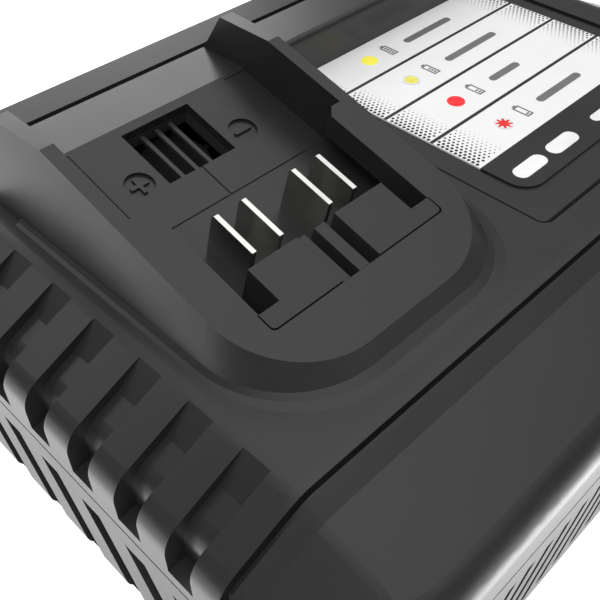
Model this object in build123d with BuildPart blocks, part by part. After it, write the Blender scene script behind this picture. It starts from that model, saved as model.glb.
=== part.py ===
"""Mains charger for slide-on tool batteries.

Frame: millimetres, +Z up, +X along the long side, +Y to the rear. The origin is on the bench,
under the middle of the housing. The battery is set down at the rear of the bay and slides
forwards on to the blades. The bay's floor falls towards the front, so most bay features are
placed on the tilted plane bay_floor.
"""
import os
from math import cos, hypot, radians, sin

from build123d import *

os.makedirs("parts", exist_ok=True)

# ---------------------------------------------------------------- driving dimensions
# housing
case_width = 227.5
case_depth = 150.4
corner_radius = 30.0
foot_height = 1.2
parting_z = 31.8
deck_z = 53.4
shoulder_drop = 8.7
side_inset = 19.5
front_inset = 29.2
rear_inset = 12.0
crease_drop = 2.6
crease_reach = 5.3
crease_radius = 5.0
top_corner_radius = 3.0
shoulder_round = 7.0
top_round = 9.0
bottom_round = 2.0
shell_wall = 5.4
roof = 2.6
base_wall = 3.2
base_floor = 3.0
lap = 2.0
fit = 0.15

# battery bay: its own x, its cross seam and the tilt of its floor
bay_x = -51.5
seam_y = 18.2
seam_z = 57.0
bay_tilt = 14.7
bay_half = 30.0
arm_wall = 3.0
arm_height = 13.0
arm_top = 3.4
lip_width = 5.2
lip_clear = 7.0
lip_end = -1.0
lip_lead = 2.4
floor_thickness = 2.6
floor_end = 30.6
arm_crease = 23.6
crown_front = -50.0
crown_radius = 21.5
foot_flare = 4.0
foot_front = -56.8
foot_radius = 25.0
# soft root of the platform: rise, spread to the sides and spread to the front of each step
root_steps = [(0.0, 1.5, 2.4), (0.35, 0.55, 0.2), (1.35, -0.45, -2.0)]

# terminal block and contact blades, along the bay floor
block_half = 19.4
block_rear = -23.9
block_front = -37.1
flange_rear = -32.9
flange_thickness = 3.1
flange_corner = 1.2
flange_gap = 0.35
row_offset = -0.6
inner_pitch = 7.15
outer_pitch = 14.6
blade_thickness = 1.2
blade_rear = -9.2
blade_chamfer = 0.6
blade_front = -21.4
blade_height = 12.5
tongue_bottom = 1.0
tongue_top = 5.4

# rear bar, its groove and the rim behind it
bar_left = -33.0
bar_right = 138.0
bar_round = 1.8
bar_rear_edge = 44.5
groove_width = 3.4
groove_depth = 3.0
rim_drop = 1.1

# side louvres, front seam and vent slots
louvre_pitch = 14.65
louvre_width = 6.8
louvre_depth = 2.3
louvre_reach = 4.2
louvre_ramp = 6.4
louvre_round = 6.5
louvre_bottom = 35.2
louvre_first = 41.0
louvre_count = 6
seam_width = 1.5
seam_depth = 2.6
front_slot_pitch = 6.3
front_slot_width = 2.4
slot_top = 25.2
slot_bottom = 6.5
side_groove_bottom = 1.6
side_groove_width = 6.3
side_groove_depth = 2.0

# status panel
panel_left = -7.9
panel_right = 84.1
panel_front = -36.4
panel_drop = 0.6
panel_corner = 3.0
panel_line = 0.5
label_left = -0.3
label_right = 77.5
label_corner = 6.0
label_front = -26.8
lens_x = 19.5
lens_first_y = 40.1
lens_pitch = 15.3
lens_radius = 2.4

# lights of the status panel: board, screws and lens roots under the deck
lamp_board_drop = 11.4
lamp_board_half = 7.0
lens_root_drop = 7.4
lens_flange = 0.8
led_radius = 1.5

# boards and fan
board_side_gap = 12.55
board_end_gap = 18.0
board_z = 11.5
board_thickness = 1.6
board_screw_inset = 8.0
terminal_board_half = 17.0
terminal_board_level = -9.6
fan_size = 40.0
fan_height = 10.0
fan_top = -6.0
fan_along = 19.15
vent_half = 9.75
vent_front = 10.3
vent_rear = 28.0
sign_radius = 3.6
sign_stroke = 0.9
sign_length = 4.8
sign_depth = 0.8
sign_rise = 0.6
floor_strip = 7.0
floor_step = 0.25
sign_x = 15.4
sign_y = 13.9

# power parts that stand on the main board: places from its edges and sizes
transformer_from_right = 46.0
transformer_y = 2.0
transformer_length = 42.0
transformer_depth = 16.0
transformer_height = 34.0
winding_half = 14.9
winding_leg = 6.0
winding_height = 22.5
can_from_right = 12.0
input_can_first_y = 22.0
input_can_pitch = 26.0
input_can_radius = 10.0
input_can_height = 29.0
output_can_first_x = -6.0
output_can_pitch = 15.0
output_can_from_front = 18.0
output_can_radius = 6.2
output_can_height = 24.0
choke_from_right = 26.0
choke_from_front = 16.0
choke_radius = 12.0
choke_hole = 6.5
choke_height = 9.0
sink_height = 24.0
sink_plate = 3.0
sink_from_right = 26.0
input_sink_length = 64.0
sink_from_rear = 20.0
output_sink_left = 4.0
output_sink_inset = 28.0
package_thickness = 4.4
package_half = 5.0
lead_pitch = 2.54
bridge_from_end = 4.0
bridge_width = 15.0
bridge_thickness = 3.8
fuse_from_right = 58.0
fuse_from_front = 8.0
fuse_radius = 3.0
fuse_length = 18.0

# fan rotor
hub_radius = 8.5
hub_height = 7.6
shaft_radius = 1.45
shaft_clear = 0.05
vane_count = 7
vane_height = 6.6

# case screws, inside the corners, and the rubber feet
screw_from_side = 16.75
screw_from_end = 20.2
screw_seat = 7.5
screw_length = 32.0
foot_from_side = 29.75
foot_from_end = 27.2

# cord entry: a bush at the bottom of a pocket in the rear wall
bush_from_side = 31.75
bush_z = 18.0
bush_bore = 3.6
pocket_half_width = 11.0
pocket_half_height = 9.5
pocket_depth = 12.2
pocket_wall = 2.4

# ---------------------------------------------------------------- derived places
tilt = radians(bay_tilt)
half_width = case_width / 2
half_depth = case_depth / 2
lip_half = bay_half - lip_width
crown_half = bay_half + arm_top
foot_half = crown_half + foot_flare
board_width = case_width - 2 * (base_wall + board_side_gap)
board_depth = case_depth - 2 * (base_wall + board_end_gap)
bush_x = half_width - bush_from_side
screw_x = half_width - screw_from_side
screw_y = half_depth - screw_from_end
shoulder_z = deck_z - shoulder_drop
bar_front_y = seam_y + floor_end * cos(tilt)
bar_z = seam_z + floor_end * sin(tilt)
bar_edge_y = seam_y + bar_rear_edge
arm_z = seam_z + arm_crease * sin(tilt) + arm_height * cos(tilt)
board_top = board_z + board_thickness
label_rear = bar_front_y - 0.1
case_screw_places = [(x, y) for x in (-screw_x, screw_x) for y in (-screw_y, screw_y)]
board_right = board_width / 2
board_rear = board_depth / 2
board_screw_x = board_right - board_screw_inset
board_screw_y = board_rear - board_screw_inset
board_screw_places = [(x, y) for x in (-board_screw_x, 0.0, board_screw_x) for y in (-board_screw_y, board_screw_y)]
foot_x = half_width - foot_from_side
foot_y = half_depth - foot_from_end
foot_places = [(x, y) for x in (-foot_x, foot_x) for y in (-foot_y, foot_y)]
transformer_x = board_right - transformer_from_right
input_can_x = board_right - can_from_right
output_can_y = output_can_from_front - board_rear
choke_place = (board_right - choke_from_right, choke_from_front - board_rear)
input_sink_right = board_right - sink_from_right
input_sink_left = input_sink_right - input_sink_length
input_sink_front = board_rear - sink_from_rear
output_sink_half = board_rear - output_sink_inset
bridge_right = input_sink_right - bridge_from_end
bridge_left = bridge_right - bridge_width
fuse_place = (board_right - fuse_from_right, fuse_from_front - board_rear)
blade_centres = {
    "contact_positive": row_offset - outer_pitch,
    "contact_sense_left": row_offset - inner_pitch,
    "contact_sense_right": row_offset + inner_pitch,
    "contact_negative": row_offset + outer_pitch,
}
fan_hole_places = [(x, fan_along + y) for x in (-16.0, 16.0) for y in (-16.0, 16.0)]
lens_places = [(lens_x, lens_first_y - lens_pitch * i) for i in range(4)]
lamp_screw_places = [(lens_x, lens_first_y - lens_pitch * i) for i in (0.5, 2.5)]
lamp_board_top = deck_z - lamp_board_drop
lens_root_z = deck_z - lens_root_drop
lens_names = ("lens_charging", "lens_charged", "lens_fault", "lens_hot")

bay_floor = Plane(origin=(bay_x, seam_y, seam_z), x_dir=(1, 0, 0), z_dir=(0, -sin(tilt), cos(tilt)))
entry = Plane(origin=(bush_x, half_depth - pocket_depth, bush_z), x_dir=(-1, 0, 0), z_dir=(0, 1, 0))


def level(z):
    """Level plane at a height above the bench."""
    return Plane.XY.offset(z)


def bay_level(z):
    """Level plane with its origin over the bay's cross seam."""
    return Plane(origin=(bay_x, seam_y, z))


def on_bay(along, normal):
    """Global y and z of a point of the bay's long section."""
    y = seam_y + along * cos(tilt) - normal * sin(tilt)
    z = seam_z + along * sin(tilt) + normal * cos(tilt)
    return (y, z)


def block(plane, x_span, y_span, height, mode=Mode.ADD, radius=0.0):
    """Rectangular block that stands on a plane, between two x and two y values."""
    width = x_span[1] - x_span[0]
    depth = y_span[1] - y_span[0]
    with BuildSketch(plane) as outline:
        with Locations(((x_span[0] + x_span[1]) / 2, (y_span[0] + y_span[1]) / 2)):
            if radius > 0:
                RectangleRounded(width, depth, radius)
            else:
                Rectangle(width, depth)
    extrude(outline.sketch, amount=height, mode=mode)


def rod(plane, places, radius, height, mode=Mode.ADD):
    """Round rods that stand on a plane at the given places."""
    with BuildSketch(plane) as outline:
        with Locations(*places):
            Circle(radius)
    extrude(outline.sketch, amount=height, mode=mode)


def long_section(points, x_span, mode=Mode.ADD):
    """Polygon of (y, z) points carried from one x to another."""
    with BuildSketch(Plane.YZ.offset(x_span[0])) as outline:
        with BuildLine():
            Polyline(*points, close=True)
        make_face()
    extrude(outline.sketch, amount=x_span[1] - x_span[0], mode=mode)


def save(part, name):
    """Label a finished piece and write it."""
    part.label = name
    export_step(part, f"parts/{name}.step")


def sloped_inset(skin, top, inset):
    """How far the top outline of the casing moves in when its skin and roof are taken off."""
    slope = shoulder_drop / inset
    return inset + (skin * hypot(1, slope) - top) / slope


def casing_outline(z, side, front, rear, radius):
    """Rounded outline of the casing at one height, set in from its side, front and rear walls."""
    with BuildSketch(level(z)) as outline:
        with Locations((0, (front - rear) / 2)):
            RectangleRounded(case_width - 2 * side, case_depth - front - rear, radius)
    return outline.sketch.face()


def casing():
    """The casing over the parting line: upright wall, sloped shoulder and level top."""
    crease_z = deck_z - crease_drop
    crease_share = 1 - crease_drop / shoulder_drop
    walls = casing_outline(shoulder_z, 0, 0, 0, corner_radius)
    crease = casing_outline(crease_z, side_inset * crease_share, front_inset - crease_reach,
                            rear_inset * crease_share, crease_radius)
    crown = casing_outline(deck_z, side_inset, front_inset, rear_inset, top_corner_radius)
    with BuildPart() as body:
        extrude(casing_outline(parting_z, 0, 0, 0, corner_radius), amount=shoulder_z - parting_z)
        loft([walls, crease], ruled=True)
        loft([crease, crown], ruled=True)
        fillet(body.edges().filter_by_position(Axis.Z, shoulder_z - 0.01, shoulder_z + 0.01), shoulder_round)
        fillet(body.edges().filter_by_position(Axis.Z, deck_z - 0.01, deck_z + 0.01), top_round)
    return body.part


def casing_inside(skin, top):
    """The room inside the casing, under a skin and a roof."""
    shoulder = shoulder_z - 0.7 * skin
    walls = casing_outline(shoulder, skin, skin, skin, corner_radius - skin)
    crown = casing_outline(deck_z - top, sloped_inset(skin, top, side_inset), sloped_inset(skin, top, front_inset),
                           sloped_inset(skin, top, rear_inset), top_corner_radius)
    with BuildPart() as room:
        extrude(casing_outline(parting_z, skin, skin, skin, corner_radius - skin), amount=shoulder - parting_z)
        loft([walls, crown], ruled=True)
    return room.part


def shoulder_relief():
    """What the two shoulders lose in front of the seam, where they drop with the front slope."""
    seam_front = front_inset - half_depth
    spare = 0.6
    slope = shoulder_drop / side_inset
    wall = half_width + spare
    band = Vector(0, -crease_reach, -crease_drop)
    fall = Vector(0, crease_reach - front_inset, crease_drop - shoulder_drop)
    with BuildPart() as kept:
        with BuildSketch(Plane.XZ.offset(-seam_front)) as section:
            with BuildLine():
                Polyline(
                    (-wall, 0),
                    (-wall, shoulder_z - spare * slope),
                    (side_inset - half_width, deck_z),
                    (half_width - side_inset, deck_z),
                    (wall, shoulder_z - spare * slope),
                    (wall, 0),
                    close=True,
                )
            make_face()
            fillet(section.vertices().filter_by_position(Axis.Y, deck_z - 0.01, deck_z + 0.01), top_round)
            fillet(section.vertices().filter_by_position(Axis.Y, shoulder_z - 1, shoulder_z + 1), shoulder_round)
        extrude(section.sketch, amount=band.length, dir=band)
        extrude(section.sketch.moved(Location(band)), amount=1.2 * fall.length, dir=fall)
    with BuildPart() as relief:
        for side in (-1, 1):
            block(level(parting_z + lap), sorted((side * (half_width - side_inset - 4), side * (half_width + spare))),
                  (-half_depth - 1, seam_front), deck_z - parting_z)
        add(kept.part, mode=Mode.SUBTRACT)
    return relief.part


def platform_root():
    """Hollow-curved root between the deck and the flared wall of the platform."""
    rear = bar_front_y - seam_y
    with BuildPart() as root:
        rings = []
        for rise, sideways, forwards in root_steps:
            front = foot_front - forwards
            with BuildSketch(bay_level(deck_z + rise)) as ring:
                with Locations((0, (front + rear) / 2 + foot_radius)):
                    RectangleRounded(2 * (foot_half + sideways), rear - front + 2 * foot_radius, foot_radius)
            rings.append(ring.sketch.face())
        loft(rings, ruled=True)
        extrude(rings[0], amount=-0.5)
        block(bay_level(deck_z - 1), (-2 * foot_half, 2 * foot_half), (rear, rear + 3 * foot_radius), 10,
              Mode.SUBTRACT)
    return root.part


def bay_platform():
    """Raised platform of the bay, flared from its crown to its foot, before the bay is cut into it."""
    front_y, front_z = on_bay(crown_front, arm_height)
    crease_y, crease_z = on_bay(arm_crease, arm_height)
    foot_rear = half_depth - seam_y + foot_radius + 1
    crown_rear = foot_rear / cos(tilt)
    with BuildPart() as platform:
        with BuildSketch(bay_level(deck_z)) as foot:
            with Locations((0, (foot_front + foot_rear) / 2)):
                RectangleRounded(2 * foot_half, foot_rear - foot_front, foot_radius)
        with BuildSketch(bay_floor.offset(arm_height)) as crown:
            with Locations((0, (crown_front + crown_rear) / 2)):
                RectangleRounded(2 * crown_half, crown_rear - crown_front, crown_radius)
        loft([foot.sketch.face(), crown.sketch.face()], ruled=True)
        extrude(foot.sketch, amount=-1)
        long_section(
            [
                (front_y - 12, deck_z - 1),
                (front_y - 12, crease_z + 1),
                (crease_y, crease_z),
                (seam_y + 37.0, arm_z),
                (bar_edge_y, bar_z),
                (half_depth - bar_round, bar_z),
                (half_depth, bar_z - bar_round),
                (half_depth, deck_z - 1),
            ],
            (bay_x - 50, bay_x + 50),
            Mode.INTERSECT,
        )
    return platform.part


def contact_outline(grow=0.0):
    """Side outline of a contact blade on the bay's long section, grown by a clearance."""
    with BuildPart() as blade:
        with BuildSketch(bay_floor) as plate:
            with Locations((0, (blade_rear + blade_front) / 2)):
                Rectangle(blade_thickness + 2 * grow, blade_rear - blade_front + 2 * grow)
        extrude(plate.sketch, amount=blade_height + grow)
        with BuildSketch(bay_floor.offset(tongue_bottom - grow)) as tongue:
            with Locations((0, (blade_front - 33.0) / 2)):
                Rectangle(blade_thickness + 2 * grow, 33.0 + blade_front + 2 * grow)
        extrude(tongue.sketch, amount=tongue_top - tongue_bottom + 2 * grow)
        with BuildSketch(bay_floor.offset(-11.0)) as tail:
            with Locations((0, -31.0)):
                Rectangle(blade_thickness + 2 * grow, 4.0 + 2 * grow)
        extrude(tail.sketch, amount=13.0)
    return blade.part


# ---------------------------------------------------------------- top shell
with BuildPart() as front_seam:
    block(level(0), (-half_width, half_width), (-half_depth + front_inset - seam_width, -half_depth + front_inset),
          2 * deck_z)
    add(casing_inside(seam_depth, seam_depth), mode=Mode.SUBTRACT)

with BuildPart() as rear_bar:
    block(level(deck_z - 1), (bay_x + bar_left, bay_x + bar_right), (bar_front_y, half_depth),
          bar_z - deck_z + 1, radius=5)
    fillet(rear_bar.edges().filter_by_position(Axis.Z, bar_z - 0.01, bar_z + 0.01), bar_round)

with BuildPart() as top_shell:
    add(casing())
    add(shoulder_relief(), mode=Mode.SUBTRACT)
    add(front_seam.part, mode=Mode.SUBTRACT)
    # louvres cut over both shoulders
    slope = shoulder_drop / side_inset
    floor_drop = louvre_depth * hypot(1, slope)
    ramp_z = deck_z - louvre_ramp * slope - floor_drop
    turn_z = shoulder_z + louvre_reach * slope - floor_drop
    top_x = half_width - side_inset
    for side in (-1, 1):
        for index in range(louvre_count):
            rear_y = louvre_first - louvre_pitch * index
            louvre_plane = Plane(origin=(0, rear_y, 0), x_dir=(1, 0, 0), z_dir=(0, -1, 0))
            with BuildSketch(louvre_plane) as louvre:
                with BuildLine():
                    Polyline(
                        (side * top_x, deck_z),
                        (side * (top_x + louvre_ramp), ramp_z),
                        (side * (half_width - louvre_reach), turn_z),
                        (side * (half_width - louvre_reach), louvre_bottom),
                        (side * (half_width + 5), louvre_bottom),
                        (side * (half_width + 5), deck_z + 5),
                        (side * top_x, deck_z + 5),
                        close=True,
                    )
                make_face()
                fillet(louvre.vertices().sort_by_distance((side * (half_width - louvre_reach), turn_z))[0],
                       louvre_round)
            extrude(louvre.sketch, amount=louvre_width, mode=Mode.SUBTRACT)
    # rear bar, the rim behind it and the bay's platform
    add(rear_bar.part)
    block(level(shoulder_z - 8), (bay_x - foot_half, bay_x + bar_right), (bar_edge_y - 8, half_depth),
          deck_z - shoulder_z + 8)
    add(platform_root())
    add(bay_platform())
    long_section(
        [(bar_edge_y + groove_width, bar_z - rim_drop), (half_depth, bar_z - 0.2), (half_depth, bar_z + 1),
         (bar_edge_y + groove_width, bar_z + 1)],
        (bay_x - foot_half - 1, bay_x + bar_right),
        Mode.SUBTRACT,
    )
    block(level(bar_z - groove_depth), (bay_x - foot_half, bay_x + bar_right),
          (bar_edge_y, bar_edge_y + groove_width), groove_depth + 1, Mode.SUBTRACT)
    # hollow inside: casing, bar, the space under the bay floor and the front of the platform
    add(casing_inside(shell_wall, roof), mode=Mode.SUBTRACT)
    block(level(shoulder_z - 12), (bay_x + bar_left, bay_x + bar_right - roof),
          (bar_front_y + roof, bar_edge_y - roof), bar_z - roof - shoulder_z + 12, Mode.SUBTRACT)
    block(level(shoulder_z - 12), (bay_x + bar_left, bay_x + bar_right - roof),
          (bar_edge_y - roof - 1, half_depth - roof), bar_z - groove_depth - roof - shoulder_z + 12, Mode.SUBTRACT)
    long_section(
        [on_bay(-39.8, -floor_thickness), on_bay(floor_end - 0.7, -floor_thickness), (bar_front_y + 3, bar_z - roof),
         (bar_front_y + 3, shoulder_z - 2), (on_bay(-39.8, 0)[0], shoulder_z - 10)],
        (bay_x - bay_half - 0.4, bay_x + bay_half + 0.4),
        Mode.SUBTRACT,
    )
    block(bay_floor.offset(-8), (-21.0, 21.0), (-46.5, -39.8), 8 + arm_height - roof, Mode.SUBTRACT)
    # tub of the bay: floor, walls and the rim of the terminal opening, with the fan's bosses under it
    block(bay_floor.offset(-floor_thickness), (-bay_half - arm_wall, bay_half + arm_wall), (-40.0, floor_end + 0.9), 10.6)
    rod(bay_floor.offset(fan_top), fan_hole_places, 3.0, -fan_top - 1.8)
    rod(bay_floor.offset(fan_top - 1), fan_hole_places, 1.25, 3.8, Mode.SUBTRACT)
    block(bay_floor, (-bay_half, bay_half), (flange_rear, 70.0), 40, Mode.SUBTRACT)
    block(bay_level(bar_z), (-bay_half, bay_half), (floor_end * cos(tilt) - 1, bar_rear_edge + 1), 40, Mode.SUBTRACT)
    # seat of the terminal block and the passage for its body
    block(bay_floor.offset(arm_height - flange_thickness), (-lip_half - flange_gap, lip_half + flange_gap),
          (block_front - flange_gap, flange_rear + 2), 20, Mode.SUBTRACT, radius=flange_corner)
    block(bay_floor.offset(-20), (-block_half - fit, block_half + fit), (block_front - fit, block_rear + fit), 50,
          Mode.SUBTRACT)
    # vent window and the shallow signs of the bay floor
    block(bay_floor.offset(-20), (-vent_half, vent_half), (vent_front, vent_rear), 40, Mode.SUBTRACT)
    block(bay_floor.offset(-0.3), (-bay_half, bay_half), (-0.25, 0.25), 1, Mode.SUBTRACT)
    block(bay_floor.offset(-0.3), (-0.8, -0.3), (0, vent_front), 1, Mode.SUBTRACT)
    for side in (-1, 1):
        strip = sorted((side * (bay_half - floor_strip), side * bay_half))
        block(bay_floor.offset(-floor_step), strip, (0.25, floor_end - 1), 1, Mode.SUBTRACT)
        rod(bay_floor.offset(-sign_depth), [(side * sign_x, sign_y)], sign_radius, 2, Mode.SUBTRACT)
        block(bay_floor.offset(-sign_depth - 0.2), (side * sign_x - sign_length / 2, side * sign_x + sign_length / 2),
              (sign_y - sign_stroke / 2, sign_y + sign_stroke / 2), sign_rise + 0.2)
    block(bay_floor.offset(-sign_depth - 0.2), (-sign_x - sign_stroke / 2, sign_stroke / 2 - sign_x),
          (sign_y - sign_length / 2, sign_y + sign_length / 2), sign_rise + 0.2)
    # status panel, its light windows and the posts of the indicator board
    panel_middle = ((panel_left + panel_right) / 2, (panel_front + bar_front_y) / 2)
    with BuildSketch(level(deck_z - panel_drop)) as panel:
        with Locations(panel_middle):
            Rectangle(panel_right - panel_left, bar_front_y - panel_front)
        fillet(panel.vertices().group_by(Axis.Y)[0], panel_corner)
    extrude(panel.sketch, amount=1, mode=Mode.SUBTRACT)
    with BuildSketch(level(deck_z - 2 * panel_drop)) as panel_edge:
        add(panel.sketch.moved(Location((0, 0, panel_drop - deck_z))))
        offset(panel.sketch.moved(Location((0, 0, panel_drop - deck_z))), amount=-panel_line, mode=Mode.SUBTRACT)
    extrude(panel_edge.sketch, amount=1, mode=Mode.SUBTRACT)
    rod(level(deck_z - 8), lens_places, lens_radius, 10, Mode.SUBTRACT)
    rod(level(lamp_board_top), lamp_screw_places, 3.0, deck_z - roof - lamp_board_top + 0.5)
    rod(level(lamp_board_top - 1), lamp_screw_places, 1.1, 7, Mode.SUBTRACT)
    # bosses for the case screws, inside the shoulders
    rod(level(parting_z), case_screw_places, 4.0, 14.2)
    rod(level(parting_z - 1), case_screw_places, 1.75, 12, Mode.SUBTRACT)
save(top_shell.part, "top_shell")

# ---------------------------------------------------------------- retaining lips of the bay
for lip_name, side in {"guide_lip_left": -1, "guide_lip_right": 1}.items():
    with BuildPart() as guide_lip:
        with BuildSketch(bay_floor.offset(lip_clear)) as lip_outline:
            with BuildLine():
                Polyline(
                    (side * lip_half, flange_rear),
                    (side * bay_half, flange_rear),
                    (side * bay_half, lip_end),
                    (side * (lip_half + lip_lead), lip_end),
                    (side * lip_half, lip_end - lip_lead),
                    close=True,
                )
            make_face()
        extrude(lip_outline.sketch, amount=arm_height - lip_clear)
    save(guide_lip.part, lip_name)

# ---------------------------------------------------------------- bottom shell
with BuildPart() as bottom_shell:
    with BuildSketch(level(foot_height)) as base_outline:
        RectangleRounded(case_width, case_depth, corner_radius)
    extrude(base_outline.sketch, amount=parting_z - foot_height)
    fillet(bottom_shell.edges().filter_by_position(Axis.Z, foot_height - 0.01, foot_height + 0.01), bottom_round)
    with BuildSketch(level(foot_height + base_floor)) as hollow:
        RectangleRounded(case_width - 2 * base_wall, case_depth - 2 * base_wall, corner_radius - base_wall)
    extrude(hollow.sketch, amount=40, mode=Mode.SUBTRACT)
    # shadow rebate along the parting line
    with BuildSketch(level(parting_z - 0.6)) as rebate:
        RectangleRounded(case_width + 2, case_depth + 2, corner_radius + 1)
        RectangleRounded(case_width - 1.2, case_depth - 1.2, corner_radius - 0.6, mode=Mode.SUBTRACT)
    extrude(rebate.sketch, amount=2, mode=Mode.SUBTRACT)
    # lap that keys into the top shell
    with BuildSketch(level(parting_z - 6)) as key:
        RectangleRounded(case_width - 2 * (shell_wall + fit), case_depth - 2 * (shell_wall + fit),
                         corner_radius - shell_wall - fit)
        RectangleRounded(case_width - 2 * (shell_wall + 1.8), case_depth - 2 * (shell_wall + 1.8),
                         corner_radius - shell_wall - 1.8, mode=Mode.SUBTRACT)
    extrude(key.sketch, amount=6 + lap)
    with BuildSketch(level(parting_z - 6)) as key_root:
        RectangleRounded(case_width - 2 * base_wall + 1, case_depth - 2 * base_wall + 1, corner_radius - base_wall)
        RectangleRounded(case_width - 2 * (shell_wall + 0.5), case_depth - 2 * (shell_wall + 0.5),
                         corner_radius - shell_wall, mode=Mode.SUBTRACT)
    extrude(key_root.sketch, amount=4)
    # slanted grooves of the side walls
    side_lean = 0.45 * (slot_top - side_groove_bottom)
    for side in (-1, 1):
        wall_plane = Plane(origin=(side * half_width, 0, 0), x_dir=(0, side, 0), z_dir=(side, 0, 0))
        with BuildSketch(wall_plane) as grooves:
            for index in range(louvre_count):
                rear_y = louvre_first + 0.6 - louvre_pitch * index
                with BuildLine():
                    Polyline(
                        (side * rear_y, slot_top),
                        (side * (rear_y - side_groove_width), slot_top),
                        (side * (rear_y - side_groove_width - side_lean), side_groove_bottom),
                        (side * (rear_y - side_lean), side_groove_bottom),
                        close=True,
                    )
                make_face()
        extrude(grooves.sketch, amount=-side_groove_depth, mode=Mode.SUBTRACT)
    # slanted vent slots through the front and the rear wall
    front_lean = 0.56 * (slot_top - slot_bottom)
    for facing in (-1, 1):
        wall_plane = Plane(origin=(0, facing * half_depth, 0), x_dir=(-facing, 0, 0), z_dir=(0, facing, 0))
        slot_numbers = range(-12, 14) if facing < 0 else range(4, 14)
        with BuildSketch(wall_plane) as slots:
            for index in slot_numbers:
                slot_x = front_slot_pitch * index
                with BuildLine():
                    Polyline(
                        (slot_x, slot_top),
                        (slot_x + front_slot_width, slot_top),
                        (slot_x + front_slot_width - front_lean, slot_bottom),
                        (slot_x - front_lean, slot_bottom),
                        close=True,
                    )
                make_face()
        extrude(slots.sketch, amount=-base_wall - 4, mode=Mode.SUBTRACT)
    # posts for the main board and for the case screws
    rod(level(foot_height + 1), board_screw_places, 4.0, board_z - foot_height - 1)
    rod(level(foot_height + 1.5), board_screw_places, 1.3, 20, Mode.SUBTRACT)
    rod(level(foot_height + 1), case_screw_places, 5.0, parting_z - foot_height - 1)
    rod(level(foot_height - 1), case_screw_places, 3.6, screw_seat + 1, Mode.SUBTRACT)
    rod(level(foot_height - 1), case_screw_places, 2.0, 40, Mode.SUBTRACT)
    # seats of the rubber feet and two keyholes to hang the charger on a wall
    rod(level(foot_height - 1), foot_places, 7.1, 1.8, Mode.SUBTRACT)
    for hang_x in (-50.0, 50.0):
        rod(level(foot_height - 1), [(hang_x, 0)], 4.5, 10, Mode.SUBTRACT)
        block(level(foot_height - 1), (hang_x - 2.25, hang_x + 2.25), (0, 10), 10, Mode.SUBTRACT)
        rod(level(foot_height - 1), [(hang_x, 10)], 2.25, 10, Mode.SUBTRACT)
    # pocket of the cord entry and the round passage of its bush
    block(entry.offset(-pocket_wall), (-pocket_half_width - pocket_wall, pocket_half_width + pocket_wall),
          (-pocket_half_height - pocket_wall, pocket_half_height + pocket_wall), pocket_depth)
    block(entry, (-pocket_half_width, pocket_half_width), (-pocket_half_height, pocket_half_height),
          2 * pocket_depth, Mode.SUBTRACT, radius=2)
    rod(entry.offset(-pocket_wall - 1), [(0, 0)], 6.0, 5, Mode.SUBTRACT)
save(bottom_shell.part, "bottom_shell")

# ---------------------------------------------------------------- terminal block and blades
with BuildPart() as terminal_block:
    block(bay_floor.offset(-8), (-block_half, block_half), (block_front, block_rear), 8 + arm_height)
    block(bay_floor.offset(arm_height - flange_thickness), (-lip_half, lip_half), (block_front, flange_rear),
          flange_thickness)
    flange_corners = terminal_block.edges().filter_by(Axis((0, 0, 0), bay_floor.z_dir))
    flange_corners = flange_corners.filter_by(lambda edge: abs(edge.center().X - bay_x) > lip_half - 0.1)
    fillet(flange_corners.group_by(Axis.Y)[0], flange_corner)
    # pocket for the contact tails
    block(bay_floor.offset(-8), (-block_half + 2, block_half - 2), (block_front + 1.6, block_rear - 1.6), 7.0,
          Mode.SUBTRACT)
    # middle channel: a ledge, a deep slot, a rib and a second deep slot
    block(bay_floor.offset(arm_height - 0.9), (row_offset - 5.4, row_offset + 5.4), (block_front - 1, block_rear + 1),
          4, Mode.SUBTRACT)
    for slot_left in (-3.0, 2.7):
        block(bay_floor.offset(3.5), (row_offset + slot_left, row_offset + slot_left + 2.7),
              (block_front - 1, block_rear + 1), 20, Mode.SUBTRACT)
    for centre in blade_centres.values():
        add(contact_outline(0.05).moved(Location((centre, 0, 0))), mode=Mode.SUBTRACT)
save(terminal_block.part, "terminal_block")

for blade_name, centre in blade_centres.items():
    with BuildPart() as blade:
        add(contact_outline().moved(Location((centre, 0, 0))))
        chamfer(blade.edges().sort_by(Axis.Z)[-1], blade_chamfer)
    save(blade.part, blade_name)

# ---------------------------------------------------------------- vent grille
with BuildPart() as vent_grille:
    block(bay_floor.offset(fan_top), (-vent_half - 2.2, vent_half + 2.2), (vent_front - 2.4, vent_rear + 1.2),
          -fan_top - floor_thickness)
    block(bay_floor.offset(fan_top - 1), (-vent_half, vent_half), (vent_front, vent_rear), 1 - fan_top, Mode.SUBTRACT)
    for rib_x in (-3.6, 0.6, 4.7):
        block(bay_floor.offset(-4.6), (rib_x - 0.55, rib_x + 0.55), (vent_front - 1, vent_rear + 1), 1.0)
save(vent_grille.part, "vent_grille")

# ---------------------------------------------------------------- status panel
with BuildPart() as label_plate:
    block(level(deck_z - panel_drop), (label_left, label_right), (label_front, label_rear), 0.5)
    front_corners = label_plate.edges().filter_by(Axis.Z).group_by(Axis.Y)[0]
    fillet(front_corners, label_corner)
    rod(level(deck_z - 2), lens_places, lens_radius, 4, Mode.SUBTRACT)
save(label_plate.part, "label_plate")

for lens_place, lens_name in zip(lens_places, lens_names):
    with BuildPart() as lens:
        rod(level(lens_root_z), [lens_place], lens_radius, deck_z - panel_drop + 0.7 - lens_root_z)
        rod(level(lens_root_z), [lens_place], lens_radius + lens_flange, deck_z - roof - lens_root_z)
    save(lens.part, lens_name)

with BuildPart() as indicator_board:
    block(level(lamp_board_top - board_thickness), (lens_x - lamp_board_half, lens_x + lamp_board_half),
          (lens_places[-1][1] - 8, lens_first_y + 6), board_thickness)
    rod(level(lamp_board_top - 2), lamp_screw_places, 1.25, 5, Mode.SUBTRACT)
save(indicator_board.part, "indicator_board")

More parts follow.
